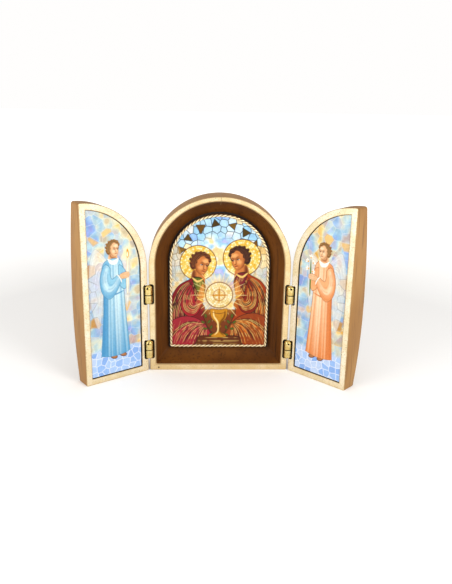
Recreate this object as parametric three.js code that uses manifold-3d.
// A small wooden triptych altarpiece that stands on a shelf: a deep arched case with a coved niche, which
// holds an arched plaque with a rope border, and two thick doors with bowed backs on small brass hinges.
// Millimetres, +Z up. The front faces -Y, and the origin is the centre of the case's underside.
// The doors stand as in use, folded a little towards the viewer.

import * as THREE from 'three';
import { mergeVertices } from 'three/addons/utils/BufferGeometryUtils.js';
import Module from 'manifold-3d';

const wasm = await Module();
wasm.setup();

// Case: an arched block, a half circle on straight sides
const caseWidth = 101.5;
const caseHeight = 130;
const caseDepth = 19.4;
const caseCorner = 0.9;
const frontEdge = 0.4;
const backEdge = 0.9;

// Niche: a gilded rim round the mouth, and coved walls that close in towards the plaque
const rimSide = 4.2;
const rimTop = 3;
const rimBottom = 4.4;
const lipWidth = 0.5;
const lipDepth = 0.5;
const nicheDepth = 14;
const coveHollow = 1.3;
const nicheCorner = 0.5;
const shadowGap = 1.2;

// Plaque on the back of the niche, with its arch concentric with the case's
const plaqueWidth = 72.8;
const plaqueBottom = 14;
const plaqueThickness = 2.6;
const plaqueCorner = 1.4;
const glueGap = 0.3;

// Rope border on the plaque's edge: two strands, whose section turns half round in each lobe
const ropeWidth = 1.84;
const ropeThin = 1.15;
const ropeFlatten = 0.62;
const ropeLobe = 3.2;
const ropeSeat = 0.1;

// Doors: half an arch each, thickest below the middle of their height
const doorGap = 0.9;
const doorThickMiddle = 18.2;
const doorThickEnd = 12.4;
const doorBellyHeight = 55;
const doorTopCorner = 1.6;
const doorBottomCorner = 0.9;
const doorBackRound = 1.8;
const leftDoorTurn = 34.6;
const rightDoorTurn = 45.5;

// Pictures set into the doors
const doorRimFree = 4.5;
const doorRimHinge = 5.4;
const doorRimTop = 4.5;
const doorRimBottom = 4.6;
const pictureThickness = 0.8;
const pictureSunk = 0.35;
const pictureGap = 0.45;
const pictureCorner = 0.5;

// Hinges: a barrel of two knuckles in a pocket, and thin leaves let into the side faces
const lowerHingeHeight = 16.8;
const upperHingeHeight = 59.1;
const barrelDiameter = 5.8;
const barrelLength = 14.2;
const barrelDome = 1.7;
const knuckleGap = 0.35;
const pinDiameter = 2.1;
const pinClearance = 0.3;
const boreDepth = 5;
const pinLength = 9.2;
const pocketWidth = 7.9;
const pocketLength = 15.2;
const pocketDepth = 3.4;
const pocketCorner = 1.6;
const leafThickness = 0.7;
const leafLength = 13.4;
const leafReach = 11.6;
const leafClearance = 0.3;
const dimpleDiameter = 1.5;
const dimpleDepth = 1.3;
const dimpleHeight = 5.1;
const dimpleTurn = 45;

// Fineness of the facets
const archSteps = 20;
const doorSteps = 8;
const cornerSteps = 2;
const roundSides = 16;
const ropeSides = 6;
const ropeStepsPerLobe = 3;

// Places that follow from the sizes
const archCentre = caseHeight - caseWidth / 2;
const frontFace = -caseDepth / 2;
const backFace = caseDepth / 2;
const plaqueFace = frontFace + nicheDepth - glueGap - plaqueThickness;
const halfGap = doorGap / 2;
const hingeX = caseWidth / 2 + halfGap;
const hingeY = frontFace - halfGap;
const leafStart = barrelDiameter / 2 + leafClearance;

// Materials
const finishes = {
  wood: { color: 0xa9855c, roughness: 0.75, metalness: 0 },
  print: { color: 0xa8b6c8, roughness: 0.4, metalness: 0 },
  icon: { color: 0xb5653a, roughness: 0.35, metalness: 0 },
  gilding: { color: 0xe8cf92, roughness: 0.35, metalness: 0.6 },
  brass: { color: 0xd9b75a, roughness: 0.3, metalness: 1 },
  steel: { color: 0xb8b8b4, roughness: 0.3, metalness: 1 },
};

const triptych = new THREE.Group();

// Adds one named solid with a material of its own to a group
function addPiece(group, name, geometry, finish) {
  const mesh = new THREE.Mesh(geometry, new THREE.MeshStandardMaterial(finishes[finish]));
  mesh.name = name;
  group.add(mesh);
  return mesh;
}

// A geometry with shared vertices and no collapsed triangles, from positions and a list of triangles
function closedGeometry(positions, triangles) {
  const raw = new THREE.BufferGeometry();
  raw.setAttribute('position', new THREE.Float32BufferAttribute(positions, 3));
  raw.setIndex(triangles);
  return dropCollapsed(mergeVertices(raw));
}

function dropCollapsed(geometry) {
  const kept = [];
  const index = geometry.index.array;
  for (let i = 0; i < index.length; i += 3) {
    const [a, b, c] = [index[i], index[i + 1], index[i + 2]];
    if (a !== b && b !== c && c !== a) kept.push(a, b, c);
  }
  geometry.setIndex(kept);
  geometry.computeVertexNormals();
  return geometry;
}

// A three.js geometry as a solid that can be joined and cut
function toSolid(geometry) {
  const bare = geometry.clone();
  bare.deleteAttribute('normal');
  bare.deleteAttribute('uv');
  const merged = dropCollapsed(mergeVertices(bare));
  const vertProperties = new Float32Array(merged.attributes.position.array);
  const triVerts = new Uint32Array(merged.index.array);
  return new wasm.Manifold(new wasm.Mesh({ numProp: 3, vertProperties, triVerts }));
}

function toGeometry(solid) {
  const mesh = solid.getMesh();
  return closedGeometry(mesh.vertProperties, Array.from(mesh.triVerts));
}

// The base with the additions joined on and the cuts taken out
function carve(base, additions, cuts) {
  let solid = toSolid(base);
  for (const addition of additions) solid = solid.add(toSolid(addition));
  for (const cut of cuts) solid = solid.subtract(toSolid(cut));
  return toGeometry(solid);
}

// How far a rounded corner draws a side in, at a given distance from the corner's end
function cornerPull(radius, distance) {
  if (distance >= radius) return 0;
  return radius - Math.sqrt(radius ** 2 - (radius - distance) ** 2);
}

// Heights where a straight side needs a row: close together in the bottom corner, then evenly spaced
function sideHeights(bottom, top, corner, steps) {
  const heights = [];
  for (let i = 0; i <= cornerSteps; i++) {
    heights.push(bottom + corner * (1 - Math.cos((i / cornerSteps) * (Math.PI / 2))));
  }
  for (let i = 1; i < steps; i++) {
    heights.push(bottom + corner + (i / steps) * (top - bottom - corner));
  }
  return heights;
}

// Rows of a full arch, from its foot to its crown, each with its height and its left and right side
function archRows(halfWidth, bottom, centre, corner) {
  const rows = sideHeights(bottom, centre, corner, 1).map((z) => {
    const side = halfWidth - cornerPull(corner, z - bottom);
    return { z, left: -side, right: side };
  });
  for (let i = 0; i <= archSteps; i++) {
    const angle = (i / archSteps) * (Math.PI / 2);
    const side = halfWidth * Math.cos(angle);
    rows.push({ z: centre + halfWidth * Math.sin(angle), left: -side, right: side });
  }
  return rows;
}

// Rows of half an arch: the low side carries the arc, the free side is straight up to its top corner.
// The distance u runs from the hinge axis to the free side, and arcAt is where the full arch is centred.
function halfArchRows({ low, free, bottom, arcAt, centre, corner, topCorner }) {
  const radius = arcAt - low;
  const meet = Math.acos((arcAt - free + topCorner) / radius);
  const top = centre + radius * Math.sin(meet);
  const freeSide = (z) => free - cornerPull(topCorner, top - z) - cornerPull(corner, z - bottom);
  const rows = sideHeights(bottom, centre, corner, doorSteps).map((z) => {
    return { z, left: low + cornerPull(corner, z - bottom), right: freeSide(z) };
  });
  for (let i = 0; i <= archSteps; i++) {
    const angle = (i / archSteps) * meet;
    const z = centre + radius * Math.sin(angle);
    rows.push({ z, left: arcAt - radius * Math.cos(angle), right: freeSide(z) });
  }
  return rows;
}

// A solid through outlines set one behind the other. Each level has rows and a depth for each height.
function stack(levels) {
  const positions = [];
  const triangles = [];
  const rowCount = levels[0].rows.length;
  const ring = 2 * rowCount;
  for (const { rows, depth } of levels) {
    for (const row of rows) positions.push(row.left, depth(row.z), row.z);
    for (const row of rows.toReversed()) positions.push(row.right, depth(row.z), row.z);
  }
  const quad = (a, b, c, d) => triangles.push(a, b, c, a, c, d);
  for (let level = 0; level + 1 < levels.length; level++) {
    const front = level * ring;
    const back = front + ring;
    for (let i = 0; i < ring; i++) {
      const j = (i + 1) % ring;
      quad(front + i, front + j, back + j, back + i);
    }
  }
  const last = (levels.length - 1) * ring;
  for (let i = 0; i + 1 < rowCount; i++) {
    const left = i;
    const right = ring - 1 - i;
    quad(left, right, right - 1, left + 1);
    quad(last + left, last + left + 1, last + right - 1, last + right);
  }
  return closedGeometry(positions, triangles);
}

// A solid that was drawn for the right side, mirrored for the left
function forSide(geometry, side) {
  if (side > 0) return geometry;
  const mirrored = geometry.index ? geometry.toNonIndexed() : geometry.clone();
  const position = mirrored.attributes.position;
  for (let i = 0; i < position.count; i += 3) {
    const corners = [0, 2, 1].map((k) => new THREE.Vector3().fromBufferAttribute(position, i + k));
    corners.forEach((corner, k) => position.setXYZ(i + k, -corner.x, corner.y, corner.z));
  }
  mirrored.deleteAttribute('normal');
  mirrored.deleteAttribute('uv');
  return dropCollapsed(mergeVertices(mirrored));
}

function boxBetween([x0, y0, z0], [x1, y1, z1]) {
  const box = new THREE.BoxGeometry(x1 - x0, y1 - y0, z1 - z0);
  return box.translate((x0 + x1) / 2, (y0 + y1) / 2, (z0 + z1) / 2);
}

// The case's block, softened at its front and back edges
function caseBlock() {
  const level = (inset, y) => {
    const rows = archRows(caseWidth / 2 - inset, inset, archCentre, caseCorner);
    return { rows, depth: () => y };
  };
  return stack([
    level(frontEdge, frontFace),
    level(0, frontFace + frontEdge),
    level(0, backFace - backEdge),
    level(backEdge, backFace),
  ]);
}

// The space routed out of the case: a small bevel at the lip, then a hollow curve in to the back.
// The curve bulges from the straight line between mouth and back, at right angles to it.
function nicheSpace() {
  const mouth = { half: caseWidth / 2 - rimSide, bottom: rimBottom, top: caseHeight - rimTop };
  const lip = {
    half: mouth.half - lipWidth,
    bottom: mouth.bottom + lipWidth,
    top: mouth.top - lipWidth,
  };
  const back = {
    half: plaqueWidth / 2 + shadowGap,
    bottom: plaqueBottom - shadowGap,
    top: archCentre + plaqueWidth / 2 + shadowGap,
  };
  const level = ({ half, bottom, top }, depth) => {
    const rows = archRows(half, bottom, top - half, nicheCorner);
    return { rows, depth: () => frontFace + depth };
  };
  const levels = [level(mouth, -1), level(mouth, 0), level(lip, lipDepth)];
  const run = lip.half - back.half;
  const fall = nicheDepth - lipDepth;
  const slope = Math.hypot(run, fall);
  const coveSteps = 4;
  for (let i = 1; i <= coveSteps; i++) {
    const share = i / coveSteps;
    const bulge = coveHollow * 4 * share * (1 - share);
    const out = (bulge * fall) / slope;
    const size = {
      half: THREE.MathUtils.lerp(lip.half, back.half, share) + out,
      bottom: THREE.MathUtils.lerp(lip.bottom, back.bottom, share) - out,
      top: THREE.MathUtils.lerp(lip.top, back.top, share) + out,
    };
    levels.push(level(size, lipDepth + share * fall + (bulge * run) / slope));
  }
  return stack(levels);
}

// The pocket round a hinge's barrel, centred on the hinge axis, open to the front
function hingePocket() {
  const [half, tall] = [pocketWidth / 2 - pocketCorner, pocketLength / 2 - pocketCorner];
  const outline = new THREE.Shape();
  outline.absarc(half, tall, pocketCorner, 0, Math.PI / 2);
  outline.absarc(-half, tall, pocketCorner, Math.PI / 2, Math.PI);
  outline.absarc(-half, -tall, pocketCorner, Math.PI, Math.PI * 1.5);
  outline.absarc(half, -tall, pocketCorner, Math.PI * 1.5, Math.PI * 2);
  outline.closePath();
  const reach = pocketDepth + doorGap;
  const pocket = new THREE.ExtrudeGeometry(outline, { depth: reach, bevelEnabled: false, curveSegments: 3 });
  return pocket.rotateX(Math.PI / 2).translate(0, reach + halfGap - doorGap, 0);
}

// The seat of a leaf, for the piece on the +X side of the hinge axis
function leafSeat() {
  return boxBetween(
    [0, leafStart - leafClearance, -leafLength / 2 - leafClearance],
    [halfGap + leafThickness + leafClearance, leafReach + leafClearance, leafLength / 2 + leafClearance],
  );
}

// Everything that a hinge takes out of the wood on the +X side of its axis
function hingeCuts(x, y, side) {
  return [lowerHingeHeight, upperHingeHeight].flatMap((z) => [
    hingePocket().translate(x, y, z),
    forSide(leafSeat(), side).translate(x, y, z),
  ]);
}

function buildCase() {
  const cuts = [nicheSpace()];
  for (const side of [-1, 1]) cuts.push(...hingeCuts(side * hingeX, hingeY, -side));
  addPiece(triptych, 'case', carve(caseBlock(), [], cuts), 'wood');
}

function buildPlaque() {
  const rows = archRows(plaqueWidth / 2, plaqueBottom, archCentre, plaqueCorner);
  const level = (y) => ({ rows, depth: () => y });
  const plaque = stack([level(plaqueFace), level(plaqueFace + plaqueThickness)]);
  addPiece(triptych, 'icon_plaque', plaque, 'icon');
}

// The rope's centre line, half its width inside the plaque's outline
function ropePath() {
  const half = plaqueWidth / 2 - ropeWidth / 2;
  const bottom = plaqueBottom + ropeWidth / 2;
  const corner = plaqueCorner;
  const path = new THREE.Path();
  path.moveTo(0, bottom);
  path.lineTo(half - corner, bottom);
  path.absarc(half - corner, bottom + corner, corner, -Math.PI / 2, 0);
  path.lineTo(half, archCentre);
  path.absarc(0, archCentre, half, 0, Math.PI);
  path.lineTo(-half, bottom + corner);
  path.absarc(-half + corner, bottom + corner, corner, Math.PI, Math.PI * 1.5);
  path.lineTo(0, bottom);
  return path;
}

// A flat oval section, carried round the path and turned half round in each lobe
function buildRope() {
  const path = ropePath();
  const lobes = 2 * Math.round(path.getLength() / (2 * ropeLobe));
  const steps = lobes * ropeStepsPerLobe;
  const line = path.getSpacedPoints(steps).slice(0, steps);
  const centreDepth = plaqueFace - ropeSeat - (ropeWidth / 2) * ropeFlatten;
  const positions = [];
  const triangles = [];
  line.forEach((point, k) => {
    const before = line[(k + steps - 1) % steps];
    const after = line[(k + 1) % steps];
    const along = after.clone().sub(before).normalize();
    const turn = (k * Math.PI) / ropeStepsPerLobe;
    for (let j = 0; j < ropeSides; j++) {
      const angle = (j / ropeSides) * Math.PI * 2;
      const oval = new THREE.Vector2((ropeWidth / 2) * Math.cos(angle), (ropeThin / 2) * Math.sin(angle));
      oval.rotateAround(new THREE.Vector2(), turn);
      const x = point.x + along.y * oval.x;
      const z = point.y - along.x * oval.x;
      positions.push(x, centreDepth - oval.y * ropeFlatten, z);
    }
  });
  for (let k = 0; k < steps; k++) {
    for (let j = 0; j < ropeSides; j++) {
      const next = (j + 1) % ropeSides;
      const here = k * ropeSides;
      const ahead = ((k + 1) % steps) * ropeSides;
      triangles.push(here + j, ahead + j, ahead + next, here + j, ahead + next, here + next);
    }
  }
  addPiece(triptych, 'rope_border', closedGeometry(positions, triangles), 'gilding');
}

// A door's thickness at a height: fullest at its belly, falling off as a parabola to foot and crown
function doorThickness(z) {
  const span = z < doorBellyHeight ? doorBellyHeight : caseHeight - doorBellyHeight;
  const away = (z - doorBellyHeight) / span;
  return doorThickMiddle - (doorThickMiddle - doorThickEnd) * away ** 2;
}

// A door's block, drawn flat open to the right of its hinge axis
function doorBlock() {
  const level = (inset, depth) => {
    const rows = halfArchRows({
      low: halfGap + inset,
      free: caseWidth / 2 - inset,
      bottom: inset,
      arcAt: hingeX,
      centre: archCentre,
      corner: doorBottomCorner,
      topCorner: doorTopCorner,
    });
    return { rows, depth };
  };
  const levels = [level(frontEdge, () => halfGap), level(0, () => halfGap + frontEdge)];
  const roundSteps = 2;
  for (let i = 0; i <= roundSteps; i++) {
    const angle = (i / roundSteps) * (Math.PI / 2);
    const inset = doorBackRound * (1 - Math.cos(angle));
    const short = doorBackRound * (1 - Math.sin(angle));
    levels.push(level(inset, (z) => halfGap + doorThickness(z) - short));
  }
  return stack(levels);
}

// The outline of a door's picture recess, or of the picture when it is drawn in by the gap
function pictureRows(inset) {
  return halfArchRows({
    low: halfGap + doorRimHinge + inset,
    free: caseWidth / 2 - doorRimFree - inset,
    bottom: doorRimBottom + inset,
    arcAt: hingeX,
    centre: archCentre + doorRimHinge - doorRimTop,
    corner: pictureCorner,
    topCorner: pictureCorner,
  });
}

function buildDoor(name, side, turn) {
  const group = new THREE.Group();
  group.position.set(side * hingeX, hingeY, 0);
  group.rotation.z = THREE.MathUtils.degToRad(-side * turn);
  triptych.add(group);
  const level = (inset, y) => ({ rows: pictureRows(inset), depth: () => y });
  const face = halfGap + pictureSunk;
  const recess = stack([level(0, 0), level(0, face + pictureThickness + glueGap)]);
  const picture = stack([level(pictureGap, face), level(pictureGap, face + pictureThickness)]);
  const door = carve(doorBlock(), [], [recess, ...hingeCuts(0, 0, 1)]);
  addPiece(group, name, forSide(door, side), 'wood');
  addPiece(group, `${name}_picture`, forSide(picture, side), 'print');
  return group;
}

// Half a barrel with a domed end and a blind bore, standing up from the gap at the middle
function knuckle() {
  const radius = barrelDiameter / 2;
  const bore = pinDiameter / 2 + pinClearance;
  const end = barrelLength / 2;
  const profile = [
    new THREE.Vector2(0, boreDepth),
    new THREE.Vector2(bore, boreDepth),
    new THREE.Vector2(bore, knuckleGap / 2),
    new THREE.Vector2(radius, knuckleGap / 2),
  ];
  const domeSteps = 3;
  for (let i = 0; i <= domeSteps; i++) {
    const angle = (i / domeSteps) * (Math.PI / 2);
    const z = end - barrelDome + barrelDome * Math.sin(angle);
    profile.push(new THREE.Vector2(i === domeSteps ? 0 : radius * Math.cos(angle), z));
  }
  return new THREE.LatheGeometry(profile, roundSides).rotateX(Math.PI / 2);
}

// A leaf on the +X side of the axis, with the neck that ties it to its knuckle's straight part
function leafPlates(zSign) {
  const inner = halfGap;
  const outer = halfGap + leafThickness;
  const bore = pinDiameter / 2 + pinClearance;
  const neckStart = (bore + barrelDiameter / 2) / 2;
  const low = knuckleGap / 2;
  const high = barrelLength / 2 - barrelDome;
  const neck = zSign > 0 ? [low, high] : [-high, -low];
  return [
    boxBetween([inner, leafStart, -leafLength / 2], [outer, leafReach, leafLength / 2]),
    boxBetween([inner, neckStart, neck[0]], [outer, leafStart + leafThickness, neck[1]]),
  ];
}

// A short round hole that faces between the door's front and its free side
function dimple() {
  const hole = new THREE.CylinderGeometry(dimpleDiameter / 2, dimpleDiameter / 2, 2 * dimpleDepth, 10);
  hole.translate(0, -barrelDiameter / 2, 0);
  return hole.rotateZ(THREE.MathUtils.degToRad(dimpleTurn)).translate(0, 0, dimpleHeight);
}

function buildHinge(name, side, z, doorGroup) {
  const lower = knuckle().rotateX(Math.PI);
  const caseLeaf = forSide(carve(lower, leafPlates(-1), []), -side);
  const doorLeaf = forSide(carve(knuckle(), leafPlates(1), [dimple()]), side);
  const pin = new THREE.CylinderGeometry(pinDiameter / 2, pinDiameter / 2, pinLength, roundSides);
  addPiece(triptych, `${name}_case_leaf`, caseLeaf, 'brass').position.set(side * hingeX, hingeY, z);
  addPiece(doorGroup, `${name}_door_leaf`, doorLeaf, 'brass').position.set(0, 0, z);
  addPiece(triptych, `${name}_pin`, pin.rotateX(Math.PI / 2), 'steel').position.set(side * hingeX, hingeY, z);
}

buildCase();
buildPlaque();
buildRope();
const leftDoor = buildDoor('left_door', -1, leftDoorTurn);
const rightDoor = buildDoor('right_door', 1, rightDoorTurn);
for (const [level, z] of [['lower', lowerHingeHeight], ['upper', upperHingeHeight]]) {
  buildHinge(`left_${level}_hinge`, -1, z, leftDoor);
  buildHinge(`right_${level}_hinge`, 1, z, rightDoor);
}

export default triptych;
